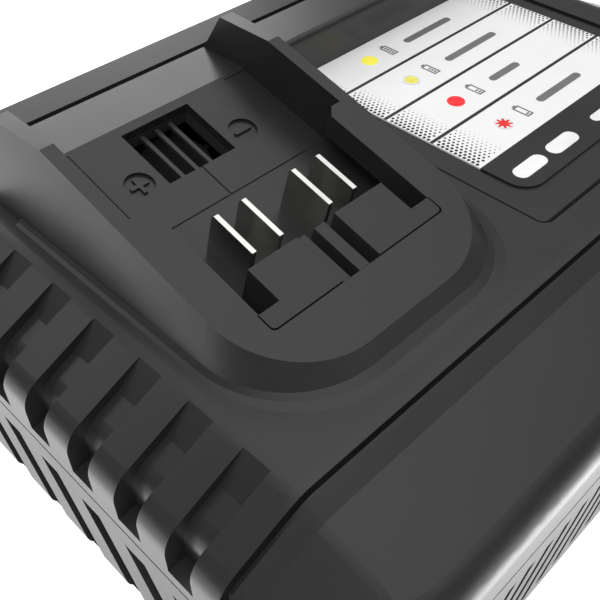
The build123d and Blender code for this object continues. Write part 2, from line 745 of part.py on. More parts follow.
with BuildPart() as indicator_leds:
    rod(level(lamp_board_top), lens_places, led_radius + 0.4, 1.0)
    rod(level(lamp_board_top + 1.0), lens_places, led_radius, 3.0)
save(indicator_leds.part, "indicator_leds")

with BuildPart() as indicator_screws:
    rod(level(lamp_board_top - board_thickness), lamp_screw_places, 1.05, 6.0)
    rod(level(lamp_board_top - board_thickness - 1.6), lamp_screw_places, 2.1, 1.6)
save(indicator_screws.part, "indicator_screws")

# ---------------------------------------------------------------- boards and leads
with BuildPart() as main_board:
    block(level(board_z), (-board_width / 2, board_width / 2), (-board_depth / 2, board_depth / 2), board_thickness,
          radius=6)
    rod(level(board_z - 1), board_screw_places, 1.5, 5, Mode.SUBTRACT)
    rod(level(board_z - 1), case_screw_places, 6.5, 5, Mode.SUBTRACT)
save(main_board.part, "main_board")

with BuildPart() as board_screws:
    rod(level(foot_height + 2.5), board_screw_places, 1.25, board_top - foot_height - 2.5)
    rod(level(board_top), board_screw_places, 2.8, 2.0)
save(board_screws.part, "board_screws")

with BuildPart() as terminal_board:
    block(bay_floor.offset(terminal_board_level), (-terminal_board_half, terminal_board_half),
          (block_front + 0.6, block_rear - 0.6), board_thickness)
    for centre in blade_centres.values():
        block(bay_floor.offset(-12), (centre - 0.65, centre + 0.65), (-33.05, -28.95), 6, Mode.SUBTRACT)
save(terminal_board.part, "terminal_board")

lead_centres = {"lead_positive": -11.0, "lead_negative": 10.0}
for lead_name, centre in lead_centres.items():
    with BuildPart() as lead:
        rod(bay_floor.offset(terminal_board_level), [(centre, -27.0)], 1.4, -40)
        block(level(-20), (-half_width, half_width), (-half_depth, half_depth), 20 + board_top, Mode.SUBTRACT)
    save(lead.part, lead_name)

# ---------------------------------------------------------------- power parts on the main board
yoke = (transformer_height - winding_height - 0.1) / 2
with BuildPart() as transformer_core:
    block(level(board_top), (transformer_x - transformer_length / 2, transformer_x + transformer_length / 2),
          (transformer_y - transformer_depth / 2, transformer_y + transformer_depth / 2), transformer_height)
    for side in (-1, 1):
        window = sorted((side * winding_leg, side * (winding_half + 0.1)))
        block(level(board_top + yoke), (transformer_x + window[0], transformer_x + window[1]),
              (transformer_y - transformer_depth, transformer_y + transformer_depth), winding_height + 0.1,
              Mode.SUBTRACT)
save(transformer_core.part, "transformer_core")

with BuildPart() as transformer_winding:
    block(level(board_top + yoke), (transformer_x - winding_half, transformer_x + winding_half),
          (transformer_y - winding_half, transformer_y + winding_half), winding_height, radius=3)
    block(level(board_top), (transformer_x - winding_leg, transformer_x + winding_leg),
          (transformer_y - transformer_depth / 2, transformer_y + transformer_depth / 2), transformer_height,
          Mode.SUBTRACT)
save(transformer_winding.part, "transformer_winding")

with BuildPart() as input_capacitors:
    rod(level(board_top), [(input_can_x, input_can_first_y - input_can_pitch * i) for i in range(2)],
        input_can_radius, input_can_height)
    fillet(input_capacitors.edges().filter_by(GeomType.CIRCLE).group_by(Axis.Z)[-1], 1.2)
save(input_capacitors.part, "input_capacitors")

with BuildPart() as output_capacitors:
    rod(level(board_top), [(output_can_first_x + output_can_pitch * i, output_can_y) for i in range(3)],
        output_can_radius, output_can_height)
    fillet(output_capacitors.edges().filter_by(GeomType.CIRCLE).group_by(Axis.Z)[-1], 0.8)
save(output_capacitors.part, "output_capacitors")

with BuildPart() as choke_core:
    rod(level(board_top), [choke_place], choke_radius, choke_height)
    rod(level(board_top), [choke_place], choke_hole, choke_height, Mode.SUBTRACT)
save(choke_core.part, "choke_core")

with BuildPart() as choke_winding:
    with BuildSketch(level(board_top + choke_height)) as wound:
        with Locations(choke_place):
            Circle(choke_radius)
            Circle(choke_hole, mode=Mode.SUBTRACT)
            Rectangle(3 * choke_radius, 7, mode=Mode.SUBTRACT)
    extrude(wound.sketch, amount=1.4)
save(choke_winding.part, "choke_winding")

with BuildPart() as heat_sink_input:
    block(level(board_top), (input_sink_left, input_sink_right), (input_sink_front, input_sink_front + sink_plate),
          sink_height)
    for index in range(9):
        fin_x = input_sink_left + 1.5 + 7.2 * index
        block(level(board_top), (fin_x, fin_x + 1.4),
              (input_sink_front + sink_plate, input_sink_front + 3 * sink_plate), sink_height)
save(heat_sink_input.part, "heat_sink_input")

with BuildPart() as heat_sink_output:
    block(level(board_top), (output_sink_left, output_sink_left + sink_plate), (-output_sink_half, output_sink_half),
          sink_height)
    for index in range(7):
        fin_y = 1.0 - output_sink_half + 7.9 * index
        block(level(board_top), (output_sink_left - 5.0, output_sink_left), (fin_y, fin_y + 1.4), sink_height)
save(heat_sink_output.part, "heat_sink_output")

with BuildPart() as power_transistors:
    for place_x in (input_sink_left + 14.0, input_sink_left + 32.0):
        block(level(board_top + 6), (place_x - package_half, place_x + package_half),
              (input_sink_front - package_thickness, input_sink_front), 15)
        for leg_x in (place_x - lead_pitch, place_x, place_x + lead_pitch):
            block(level(board_top), (leg_x - 0.4, leg_x + 0.4), (input_sink_front - 2.4, input_sink_front - 1.8), 6)
save(power_transistors.part, "power_transistors")

with BuildPart() as bridge_rectifier:
    block(level(board_top + 5), (bridge_left, bridge_right), (input_sink_front - bridge_thickness, input_sink_front),
          16)
    for index in range(4):
        leg_x = bridge_left + 1.5 + 4.0 * index
        block(level(board_top), (leg_x - 0.45, leg_x + 0.45), (input_sink_front - 2.2, input_sink_front - 1.5), 5)
save(bridge_rectifier.part, "bridge_rectifier")

with BuildPart() as output_rectifiers:
    sink_face = output_sink_left + sink_plate
    for place_y in (-12.0, 12.0):
        block(level(board_top + 5), (sink_face, sink_face + package_thickness),
              (place_y - package_half, place_y + package_half), 15)
        for leg_y in (place_y - lead_pitch, place_y, place_y + lead_pitch):
            block(level(board_top), (sink_face + 2.0, sink_face + 2.6), (leg_y - 0.4, leg_y + 0.4), 5)
save(output_rectifiers.part, "output_rectifiers")

with BuildPart() as input_fuse:
    with BuildSketch(Plane(origin=(*fuse_place, board_top + fuse_radius), z_dir=(1, 0, 0))) as tube:
        Circle(fuse_radius)
    extrude(tube.sketch, amount=fuse_length)
save(input_fuse.part, "input_fuse")

# ---------------------------------------------------------------- fan
fan_plane = bay_floor.offset(fan_top - fan_height)
fan_half = fan_size / 2
with BuildPart() as fan_frame:
    block(fan_plane, (-fan_half, fan_half), (fan_along - fan_half, fan_along + fan_half), fan_height, radius=3)
    rod(fan_plane.offset(-1), [(0, fan_along)], 18.6, 20, Mode.SUBTRACT)
    rod(fan_plane, [(0, fan_along)], 9.0, 1.2)
    for angle in (0, 90):
        spoke_x, spoke_y = (19.5, 1.1) if angle == 0 else (1.1, 19.5)
        block(fan_plane, (-spoke_x, spoke_x), (fan_along - spoke_y, fan_along + spoke_y), 1.2)
    rod(fan_plane, [(0, fan_along)], shaft_radius, 7.0)
    rod(fan_plane.offset(-1), fan_hole_places, 1.5, 20, Mode.SUBTRACT)
save(fan_frame.part, "fan_frame")

with BuildSketch() as vane:
    with BuildLine():
        ThreePointArc((7.9, -1.0), (13.0, 0.9), (17.9, 0.4))
        Line((17.9, 0.4), (17.9, 1.3))
        ThreePointArc((17.9, 1.3), (13.0, 2.0), (7.9, 0.2))
        Line((7.9, 0.2), (7.9, -1.0))
    make_face()

with BuildPart() as fan_rotor:
    rod(fan_plane.offset(1.6), [(0, fan_along)], hub_radius, hub_height)
    with BuildSketch(fan_plane.offset(1.9)) as vanes:
        with Locations((0, fan_along)):
            with PolarLocations(0, vane_count):
                add(vane.sketch)
    extrude(vanes.sketch, amount=vane_height)
    rod(fan_plane.offset(1), [(0, fan_along)], shaft_radius + shaft_clear, 6.6, Mode.SUBTRACT)
save(fan_rotor.part, "fan_rotor")

with BuildPart() as fan_screws:
    rod(fan_plane.offset(-0.01), fan_hole_places, 1.2, fan_height + 2.5)
    rod(fan_plane.offset(-1.8), fan_hole_places, 2.4, 1.8)
save(fan_screws.part, "fan_screws")

# ---------------------------------------------------------------- fasteners, feet and bush
with BuildPart() as case_screws:
    rod(level(foot_height + screw_seat - 2.2), case_screw_places, 3.3, 2.2)
    rod(level(foot_height + screw_seat), case_screw_places, 1.7, screw_length)
save(case_screws.part, "case_screws")

with BuildPart() as rubber_feet:
    rod(level(0), foot_places, 7.0, foot_height + 0.8)
    fillet(rubber_feet.edges().filter_by_position(Axis.Z, -0.01, 0.01), 1.0)
save(rubber_feet.part, "rubber_feet")

with BuildPart() as cord_bush:
    rod(entry.offset(-pocket_wall - 1.6), [(0, 0)], 7.0, 1.6)
    rod(entry.offset(-pocket_wall), [(0, 0)], 6.0, pocket_wall)
    rod(entry, [(0, 0)], 8.5, 1.8)
    with BuildSketch(entry.offset(1.8)) as sleeve:
        Circle(6.2)
    extrude(sleeve.sketch, amount=10.4, taper=6)
    rod(entry.offset(-10), [(0, 0)], bush_bore, 30, Mode.SUBTRACT)
save(cord_bush.part, "cord_bush")
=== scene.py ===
import math

import bmesh
import bpy
from mathutils import Matrix, Vector


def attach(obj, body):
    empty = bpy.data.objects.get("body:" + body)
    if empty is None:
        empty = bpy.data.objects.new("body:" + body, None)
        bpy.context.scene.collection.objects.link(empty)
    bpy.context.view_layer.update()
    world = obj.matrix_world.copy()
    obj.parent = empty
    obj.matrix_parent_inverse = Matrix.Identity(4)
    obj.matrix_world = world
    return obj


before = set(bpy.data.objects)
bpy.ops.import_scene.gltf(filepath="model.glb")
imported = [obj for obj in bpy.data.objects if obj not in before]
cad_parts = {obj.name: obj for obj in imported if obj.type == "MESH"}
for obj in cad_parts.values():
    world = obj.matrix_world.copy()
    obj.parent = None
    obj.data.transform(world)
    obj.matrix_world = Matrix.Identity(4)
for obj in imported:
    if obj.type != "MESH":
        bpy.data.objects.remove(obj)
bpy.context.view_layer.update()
MM = 0.001

# ------------------------------------------------------------------ places, in millimetres of the row frame
# label plate: top face, sides, front edge and radius of the front corners
LABEL_TOP = 53.3
LABEL_LEFT, LABEL_RIGHT, LABEL_FRONT = -0.3, 77.5, -26.8
LABEL_CORNER = 6.0
# edges of the four status rows, from the label's rear edge to its dark front band
ROW_EDGES = (47.7, 32.7, 17.3, 2.1, -13.0)
ROWS = len(ROW_EDGES) - 1
# light windows: their column, the first one and the distance between rows
LENS_X, LENS_FIRST, LENS_PITCH = 19.5, 40.1, 15.3
# recess of the status panel: floor, sides, front edge, rear end of its seam line and corner radius
PANEL_FLOOR = 52.8
PANEL_LEFT, PANEL_RIGHT, PANEL_FRONT, PANEL_REAR = -7.9, 84.1, -36.4, 46.0
PANEL_CORNER = 3.0
# printed layers: gap over what carries them, and thickness
PRINT_GAP, PRINT_THICKNESS = 0.005, 0.03

# colours used more than once
INK_BLACK = (0.018, 0.018, 0.019)
WHITE = (1.0, 1.0, 1.0, 1.0)


def row_middle(row):
    return LENS_FIRST - LENS_PITCH * row


# ------------------------------------------------------------------ material helpers
class Shader:
    """Small wrapper that builds one node material."""

    def __init__(self, name):
        self.material = bpy.data.materials.new(name)
        self.material.use_nodes = True
        self.tree = self.material.node_tree
        self.nodes = self.tree.nodes
        self.bsdf = self.nodes["Principled BSDF"]

    def node(self, kind, **settings):
        made = self.nodes.new(kind)
        for key, value in settings.items():
            setattr(made, key, value)
        return made

    def link(self, source, target):
        self.tree.links.new(source, target)

    def feed(self, target, value):
        if isinstance(value, bpy.types.NodeSocket):
            self.link(value, target)
        else:
            target.default_value = value

    def math(self, operation, a, b=0.0):
        made = self.node("ShaderNodeMath", operation=operation)
        for socket, value in zip(made.inputs, (a, b)):
            self.feed(socket, value)
        return made.outputs[0]

    def place(self):
        return self.node("ShaderNodeTexCoord").outputs["Object"]

    def place_parts(self):
        split = self.node("ShaderNodeSeparateXYZ")
        self.link(self.place(), split.inputs[0])
        return split.outputs

    def noise(self, scale, detail=2.0, roughness=0.5, place=None):
        made = self.node("ShaderNodeTexNoise")
        self.link(place or self.place(), made.inputs["Vector"])
        made.inputs["Scale"].default_value = scale
        made.inputs["Detail"].default_value = detail
        made.inputs["Roughness"].default_value = roughness
        return made.outputs["Fac"]

    def cells(self, scale):
        made = self.node("ShaderNodeTexVoronoi", feature="F1")
        self.link(self.place(), made.inputs["Vector"])
        made.inputs["Scale"].default_value = scale
        return made.outputs["Distance"]

    def spread(self, value, low, high, to_low=0.0, to_high=1.0):
        made = self.node("ShaderNodeMapRange")
        self.feed(made.inputs["Value"], value)
        limits = {"From Min": low, "From Max": high, "To Min": to_low, "To Max": to_high}
        for key, number in limits.items():
            self.feed(made.inputs[key], number)
        return made.outputs["Result"]

    def blend(self, factor, a, b):
        made = self.node("ShaderNodeMix", data_type="RGBA")
        self.feed(made.inputs["Factor"], factor)
        for socket, colour in ((made.inputs["A"], a), (made.inputs["B"], b)):
            if isinstance(colour, bpy.types.NodeSocket):
                self.link(colour, socket)
            else:
                socket.default_value = (*colour, 1.0)
        return made.outputs["Result"]

    def rounded(self, radius):
        made = self.node("ShaderNodeBevel", samples=6)
        made.inputs["Radius"].default_value = radius
        return made.outputs["Normal"]

    def bump(self, height, strength, distance, normal=None):
        made = self.node("ShaderNodeBump")
        made.inputs["Strength"].default_value = strength
        made.inputs["Distance"].default_value = distance
        self.link(height, made.inputs["Height"])
        if normal is not None:
            self.link(normal, made.inputs["Normal"])
        self.link(made.outputs["Normal"], self.bsdf.inputs["Normal"])

    def set(self, key, value):
        self.feed(self.bsdf.inputs[key], value)

    def glow(self, colour, strength):
        self.bsdf.inputs["Emission Color"].default_value = colour
        self.set("Emission Strength", strength)


def times(colour, factor):
    return tuple(min(1.0, c * factor) for c in colour)


def moulded(name, colour, rough, grain=0.35, edge_radius=0.0, ior=1.5):
    """Injection-moulded plastic with a fine spark-eroded grain and faint flow marks."""
    s = Shader(name)
    rounded = s.rounded(edge_radius * MM) if edge_radius > 0 else None
    flow = s.noise(38.0, 3.0)
    grain_height = s.noise(5200.0, 1.0)
    pits = s.noise(1700.0, 2.0)
    height = s.math("ADD", s.math("MULTIPLY", grain_height, 0.6), s.math("MULTIPLY", pits, 0.4))
    s.bump(height, grain, 0.00004, rounded)
    s.set("Base Color", s.blend(s.spread(flow, 0.3, 0.7), times(colour, 0.9), times(colour, 1.1)))
    s.set("Roughness", s.spread(flow, 0.3, 0.7, rough - 0.025, rough + 0.03))
    s.set("IOR", ior)
    return s.material


def metal(name, colour, rough, brushed, streak):
    """Metal with fine streaks drawn along the axis of the smallest scale, faint tarnish and rounded edges."""
    s = Shader(name)
    rounded = s.rounded(0.15 * MM)
    stretch = s.node("ShaderNodeMapping")
    s.link(s.place(), stretch.inputs["Vector"])
    stretch.inputs["Scale"].default_value = brushed
    streaks = s.noise(2600.0, 2.0, 0.6, stretch.outputs["Vector"])
    cloud = s.noise(160.0, 3.0)
    s.bump(streaks, streak, 0.00002, rounded)
    s.set("Base Color", s.blend(s.spread(cloud, 0.35, 0.7), colour, times(colour, 0.86)))
    s.set("Metallic", 1.0)
    s.set("Roughness", s.spread(streaks, 0.3, 0.7, rough - 0.04, rough + 0.06))
    return s.material


def lacquer(name, colour, rough):
    """Printed or dipped surface with a slight orange peel."""
    s = Shader(name)
    s.bump(s.noise(900.0, 2.0), 0.12, 0.00003, s.rounded(0.1 * MM))
    tone = s.noise(120.0, 2.0)
    s.set("Base Color", s.blend(s.spread(tone, 0.3, 0.7), times(colour, 0.94), times(colour, 1.06)))
    s.set("Roughness", s.spread(tone, 0.3, 0.7, rough - 0.03, rough + 0.04))
    return s.material


def film(name):
    """White printed film; its front band is printed black right over the cut edge."""
    s = Shader(name)
    s.bump(s.noise(900.0, 2.0), 0.12, 0.00003, s.rounded(0.1 * MM))
    banded = s.math("LESS_THAN", s.place_parts()["Y"], ROW_EDGES[-1] * MM)
    tone = s.noise(120.0, 2.0)
    paper = s.blend(s.spread(tone, 0.3, 0.7), (0.893, 0.893, 0.893), (0.907, 0.907, 0.907))
    s.set("Base Color", s.blend(banded, paper, INK_BLACK))
    s.set("Roughness", s.spread(tone, 0.3, 0.7, 0.31, 0.38))
    return s.material


def laminate(name):
    """Green solder-masked board with a faint weave."""
    s = Shader(name)
    weave = s.node("ShaderNodeTexChecker")
    s.link(s.place(), weave.inputs["Vector"])
    weave.inputs["Scale"].default_value = 900.0
    tone = s.noise(90.0, 2.0)
    mask = s.blend(s.spread(tone, 0.3, 0.7), (0.012, 0.075, 0.03), (0.02, 0.11, 0.045))
    s.set("Base Color", mask)
    s.bump(weave.outputs["Fac"], 0.1, 0.00002)
    s.set("Roughness", 0.32)
    return s.material


def ferrite(name):
    """Pressed and fired core with a coarse speckle."""
    s = Shader(name)
    speckle = s.cells(1500.0)
    s.bump(speckle, 0.35, 0.00006, s.rounded(0.2 * MM))
    dark, pale = (0.028, 0.028, 0.03), (0.06, 0.06, 0.064)
    s.set("Base Color", s.blend(s.spread(speckle, 0.1, 0.6), dark, pale))
    s.set("Roughness", s.spread(speckle, 0.1, 0.6, 0.45, 0.6))
    return s.material


def wound(name, colour, pitch, axis="Z"):
    """Wrapped wire or tape: fine even ridges, with painted shade darkening the valleys between them."""
    s = Shader(name)
    ridges = s.node("ShaderNodeTexWave", wave_type="BANDS", bands_direction=axis,
                    wave_profile="SIN")
    s.link(s.place(), ridges.inputs["Vector"])
    ridges.inputs["Scale"].default_value = 2 * math.pi / (pitch * MM) / 20.0
    s.bump(ridges.outputs["Fac"], 0.6, 0.0002)
    # painted shade: the valleys of the ridges are coloured darker, down to 0.65 of the colour
    s.set("Base Color", s.blend(ridges.outputs["Fac"], times(colour, 0.65), colour))
    s.set("Roughness", 0.4)
    return s.material


def rubber(name, colour=INK_BLACK):
    """Soft moulding or insulation with a faint bloom."""
    s = Shader(name)
    bloom = s.noise(140.0, 4.0)
    skin = s.noise(2400.0, 2.0)
    s.bump(skin, 0.5, 0.00006, s.rounded(0.3 * MM))
    s.set("Base Color", s.blend(s.spread(bloom, 0.4, 0.7), colour, times(colour, 1.7)))
    s.set("Roughness", s.spread(bloom, 0.3, 0.7, 0.62, 0.74))
    s.set("Specular IOR Level", 0.35)
    return s.material


def lens(name, colour, glow, row=0, core=0.0, points=0):
    """Tinted light guide; core is the radius, in millimetres, of a tinted disc in a milky window.

    With points the disc is a star of so many points. Without a core the whole window is tinted.
    """
    s = Shader(name)
    tone = s.noise(700.0, 2.0)
    tint = s.blend(s.spread(tone, 0.3, 0.7), times(colour, 0.92), colour)
    if core > 0:
        parts = s.place_parts()
        x = s.math("SUBTRACT", parts["X"], LENS_X * MM)
        y = s.math("SUBTRACT", parts["Y"], row_middle(row) * MM)
        away = s.math("SQRT", s.math("ADD", s.math("MULTIPLY", x, x), s.math("MULTIPLY", y, y)))
        wave = s.math("COSINE", s.math("MULTIPLY", s.math("ARCTAN2", y, x), float(points)))
        depth = 0.3 * core * MM if points else 0.0
        rim = s.math("ADD", s.math("MULTIPLY", wave, depth), core * MM)
        tint = s.blend(s.math("LESS_THAN", away, rim), (0.88, 0.88, 0.87), tint)
    s.set("Base Color", tint)
    s.bump(tone, 0.1, 0.00004, s.rounded(0.25 * MM))
    s.set("Roughness", s.spread(tone, 0.3, 0.7, 0.18, 0.26))
    s.set("Subsurface Weight", 0.3)
    s.bsdf.inputs["Subsurface Radius"].default_value = (0.003, 0.003, 0.002)
    s.set("Subsurface Scale", 0.4)
    s.glow((*colour, 1.0), glow)
    return s.material


def clear(name, tint):
    """Clear glass with faint seeds."""
    s = Shader(name)
    seeds = s.cells(800.0)
    s.bump(seeds, 0.05, 0.00003)
    s.set("Base Color", s.blend(s.spread(seeds, 0.0, 0.8), tint, times(tint, 0.95)))
    s.set("Roughness", 0.06)
    s.set("Transmission Weight", 0.85)
    s.set("IOR", 1.5)
    return s.material


# ------------------------------------------------------------------ materials of the CAD nodes
HOUSING = moulded("housing_satin_black", (0.020, 0.0198, 0.0198), 0.32, grain=0.3)
TERMINAL = moulded("terminal_block_black", (0.022, 0.022, 0.022), 0.42, grain=0.45, edge_radius=0.12)
GRILLE = moulded("grille_dark", (0.034, 0.034, 0.034), 0.42, edge_radius=0.15)
BLADE = metal("nickel_blade", (0.86, 0.85, 0.82), 0.17, (1.0, 0.12, 1.0), 0.15)
FILM = film("label_film")
BOARD = laminate("board_green")
LED = lens("led_resin", (0.85, 0.85, 0.8), 0.0)
STEEL = metal("zinc_screw", (0.62, 0.62, 0.64), 0.28, (1.0, 1.0, 1.0), 0.4)
ALUMINIUM = metal("mill_aluminium", (0.74, 0.75, 0.76), 0.33, (0.1, 1.0, 1.0), 0.5)
FERRITE = ferrite("ferrite")
TAPE = wound("winding_tape", (0.72, 0.5, 0.06), 1.8)
COPPER = wound("enamelled_copper", (0.6, 0.22, 0.07), 0.9, "X")
SLEEVE = lacquer("capacitor_sleeve", (0.02, 0.035, 0.09), 0.25)
EPOXY = moulded("package_epoxy", (0.018, 0.018, 0.018), 0.5, grain=0.6)
FAN = moulded("fan_black", (0.005, 0.005, 0.005), 0.75, ior=1.3)
RUBBER = rubber("foot_rubber")
WIRE_RED = rubber("wire_red", (0.42, 0.012, 0.01))
WIRE_BLACK = rubber("wire_black")
FUSE = clear("fuse_glass", (0.9, 0.94, 0.94))
AMBER_LENS = lens("lens_amber", (0.93, 0.85, 0.10), 0.25)
AMBER_DISC = lens("lens_pale_amber", (0.93, 0.88, 0.16), 0.0, row=1, core=1.9)
RED_LENS = lens("lens_red", (0.90, 0.03, 0.04), 0.25)
RED_STAR = lens("lens_red_hot", (0.88, 0.04, 0.04), 0.0, row=3, core=1.8, points=8)

NODES_OF_MATERIAL = (
    (HOUSING, ("top_shell", "guide_lip_left", "guide_lip_right", "bottom_shell")),
    (TERMINAL, ("terminal_block",)),
    (GRILLE, ("vent_grille",)),
    (BLADE, ("contact_positive", "contact_negative", "contact_sense_left", "contact_sense_right")),
    (FILM, ("label_plate",)),
    (BOARD, ("indicator_board", "main_board", "terminal_board")),
    (LED, ("indicator_leds",)),
    (STEEL, ("indicator_screws", "board_screws", "fan_screws", "case_screws")),
    (WIRE_RED, ("lead_positive",)),
    (WIRE_BLACK, ("lead_negative",)),
    (FERRITE, ("transformer_core", "choke_core")),
    (TAPE, ("transformer_winding",)),
    (COPPER, ("choke_winding",)),
    (SLEEVE, ("input_capacitors", "output_capacitors")),
    (ALUMINIUM, ("heat_sink_input", "heat_sink_output")),
    (EPOXY, ("power_transistors", "bridge_rectifier", "output_rectifiers")),
    (FUSE, ("input_fuse",)),
    (FAN, ("fan_frame", "fan_rotor")),
    (RUBBER, ("rubber_feet", "cord_bush")),
    (AMBER_LENS, ("lens_charging",)),
    (AMBER_DISC, ("lens_charged",)),
    (RED_LENS, ("lens_fault",)),
    (RED_STAR, ("lens_hot",)),
)
for material, node_names in NODES_OF_MATERIAL:
    for node_name in node_names:
        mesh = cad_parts[node_name].data
        mesh.materials.clear()
        mesh.materials.append(material)


# ------------------------------------------------------------------ label print
def flat_piece(name, material, shapes, z):
    """Thin ink layer: closed prisms over flat outlines given in millimetres."""
    bm = bmesh.new()
    for outline in shapes:
        low = [bm.verts.new((x * MM, y * MM, z * MM)) for x, y in outline]
        high = [bm.verts.new((x * MM, y * MM, (z + PRINT_THICKNESS) * MM)) for x, y in outline]
        bm.faces.new(list(reversed(low)))
        bm.faces.new(high)
        count = len(outline)
        for i in range(count):
            j = (i + 1) % count
            bm.faces.new((low[i], low[j], high[j], high[i]))
    bmesh.ops.recalc_face_normals(bm, faces=bm.faces)
    mesh = bpy.data.meshes.new(name)
    bm.to_mesh(mesh)
    bm.free()
    mesh.materials.append(material)
    piece = bpy.data.objects.new(name, mesh)
    bpy.context.scene.collection.objects.link(piece)
    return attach(piece, "housing")


def dot(x, y, radius):
    corners = [2 * math.pi * i / 8 for i in range(8)]
    return [(x + radius * math.cos(a), y + radius * math.sin(a)) for a in corners]


def bar(x0, x1, y0, y1):
    return [(x0, y0), (x1, y0), (x1, y1), (x0, y1)]


def pill(x0, x1, y, height):
    """Bar with round ends."""
    r = height / 2
    left = [(x0 + r + r * math.cos(a), y + r * math.sin(a))
            for a in (math.radians(90 + 180 * i / 8) for i in range(9))]
    right = [(x1 - r + r * math.cos(a), y + r * math.sin(a))
             for a in (math.radians(-90 + 180 * i / 8) for i in range(9))]
    return left + right


def rounded_front(left, right, front, radius, inset=0.0):
    """Outline from the left side round both front corners to the right side, moved inwards by inset."""
    turn = radius - inset
    quarter = [math.radians(9 * i) for i in range(11)]
    left_corner = [(left + radius - turn * math.cos(a), front + radius - turn * math.sin(a))
                   for a in quarter]
    right_corner = [(right - radius + turn * math.sin(a), front + radius - turn * math.cos(a))
                    for a in quarter]
    return left_corner + right_corner


INK = lacquer("label_ink_black", INK_BLACK, 0.30)
GREY_INK = lacquer("label_ink_grey", (0.17, 0.17, 0.17), 0.35)
PALE_INK = lacquer("label_ink_pale", (0.90, 0.90, 0.90), 0.32)
INK_Z = LABEL_TOP + PRINT_GAP

# dark band along the front edge, and lines between the rows
SEPARATOR_HALF = 0.5
flat_piece("label_rating_band", INK,
           [rounded_front(LABEL_LEFT, LABEL_RIGHT, LABEL_FRONT, LABEL_CORNER)
            + [(LABEL_RIGHT, ROW_EDGES[-1]), (LABEL_LEFT, ROW_EDGES[-1])]], INK_Z)
flat_piece("label_separators", INK,
           [bar(LABEL_LEFT, LABEL_RIGHT, edge - SEPARATOR_HALF, edge + SEPARATOR_HALF)
            for edge in ROW_EDGES[1:-1]], INK_Z)

# halftone fields at both ends of each row: dots shrink towards the row's middle
DOT_STEP, DOT_COLUMN_RATIO, DOT_COUNT = 1.32, 0.87, 12
DOT_FIRST_X, DOT_FIRST_Y, DOT_ROW_MARGIN = 0.7, 0.5, 0.9
LEFT_DOT, RIGHT_DOT, SMALLEST_DOT = 0.52, 0.46, 0.07
LEFT_REACHES, RIGHT_REACH = (5.5, 9.0, 11.0, 13.0), 12.0
dots = []
for row in range(ROWS):
    top, bottom = ROW_EDGES[row] - DOT_ROW_MARGIN, ROW_EDGES[row + 1] + DOT_ROW_MARGIN
    for i in range(DOT_COUNT):
        for j in range(DOT_COUNT):
            x = DOT_FIRST_X + DOT_STEP * i * DOT_COLUMN_RATIO
            y = bottom + DOT_FIRST_Y + DOT_STEP * (j + 0.5 * (i % 2))
            left_size = LEFT_DOT * (1 - x / LEFT_REACHES[row])
            right_size = RIGHT_DOT * (1 - x / RIGHT_REACH)
            if y < top and left_size > SMALLEST_DOT:
                dots.append(dot(LABEL_LEFT + x, y, left_size))
            if y < top and right_size > SMALLEST_DOT:
                dots.append(dot(LABEL_RIGHT - x, y, right_size))
flat_piece("label_halftone", INK, dots, INK_Z)

# generic marks: in each row a small cell with charge bars and one bar in place of words
CELL_X, CELL_HALF_WIDTH, CELL_HALF_HEIGHT, CELL_WALL = 28.0, 1.3, 2.6, 0.5
CELL_CAP_HALF_WIDTH, CELL_CAP_HEIGHT = 0.6, 0.6
CHARGE_HALF_WIDTH, CHARGE_FIRST, CHARGE_HEIGHT, CHARGE_PITCH = 0.5, -1.8, 0.6, 0.95
WORD_LEFT, WORD_RIGHTS, WORD_HEIGHT = 35.0, (56.0, 58.0, 48.0, 55.0), 2.4
marks = []
for row in range(ROWS):
    y = row_middle(row)
    cell_left, cell_right = CELL_X - CELL_HALF_WIDTH, CELL_X + CELL_HALF_WIDTH
    cell_low, cell_high = y - CELL_HALF_HEIGHT, y + CELL_HALF_HEIGHT
    marks += [
        bar(cell_left, cell_right, cell_low, cell_low + CELL_WALL),
        bar(cell_left, cell_right, cell_high - CELL_WALL, cell_high),
        bar(cell_left, cell_left + CELL_WALL, cell_low + CELL_WALL, cell_high - CELL_WALL),
        bar(cell_right - CELL_WALL, cell_right, cell_low + CELL_WALL, cell_high - CELL_WALL),
        bar(CELL_X - CELL_CAP_HALF_WIDTH, CELL_X + CELL_CAP_HALF_WIDTH, cell_high,
            cell_high + CELL_CAP_HEIGHT),
    ]
    for k in range(ROWS - row):
        charge_low = y + CHARGE_FIRST + CHARGE_PITCH * k
        marks.append(bar(CELL_X - CHARGE_HALF_WIDTH, CELL_X + CHARGE_HALF_WIDTH, charge_low,
                         charge_low + CHARGE_HEIGHT))
    marks.append(pill(WORD_LEFT, WORD_RIGHTS[row], y, WORD_HEIGHT))
flat_piece("label_marks", GREY_INK, marks, INK_Z)

# three pale bars in place of the rating on the dark band, each with its left and right end and height
RATING_Y = -21.0
RATING_BARS = ((3.0, 14.6, 4.4), (17.0, 28.6, 4.4), (37.0, 60.0, 3.0))
flat_piece("label_rating_bars", PALE_INK,
           [pill(left, right, RATING_Y, height) for left, right, height in RATING_BARS],
           INK_Z + PRINT_THICKNESS)

# painted shadow of the panel's seam: a dark strip inside the recess edge, on the recess floor, standing in
# for the shade of a deeper gap
SEAM_SHADOW_PAINT = moulded("panel_seam_painted_shadow", (0.004, 0.004, 0.004), 0.8, ior=1.3)
SEAM_NEAR, SEAM_FAR = 0.5, 1.25


def seam_side(inset):
    """One side of the painted seam shadow strip, from its rear left end to its rear right end."""
    return ([(PANEL_LEFT + inset, PANEL_REAR)]
            + rounded_front(PANEL_LEFT, PANEL_RIGHT, PANEL_FRONT, PANEL_CORNER, inset)
            + [(PANEL_RIGHT - inset, PANEL_REAR)])


flat_piece("panel_seam_shadow_strip", SEAM_SHADOW_PAINT, [seam_side(SEAM_NEAR) + seam_side(SEAM_FAR)[::-1]],
           PANEL_FLOOR + PRINT_GAP)

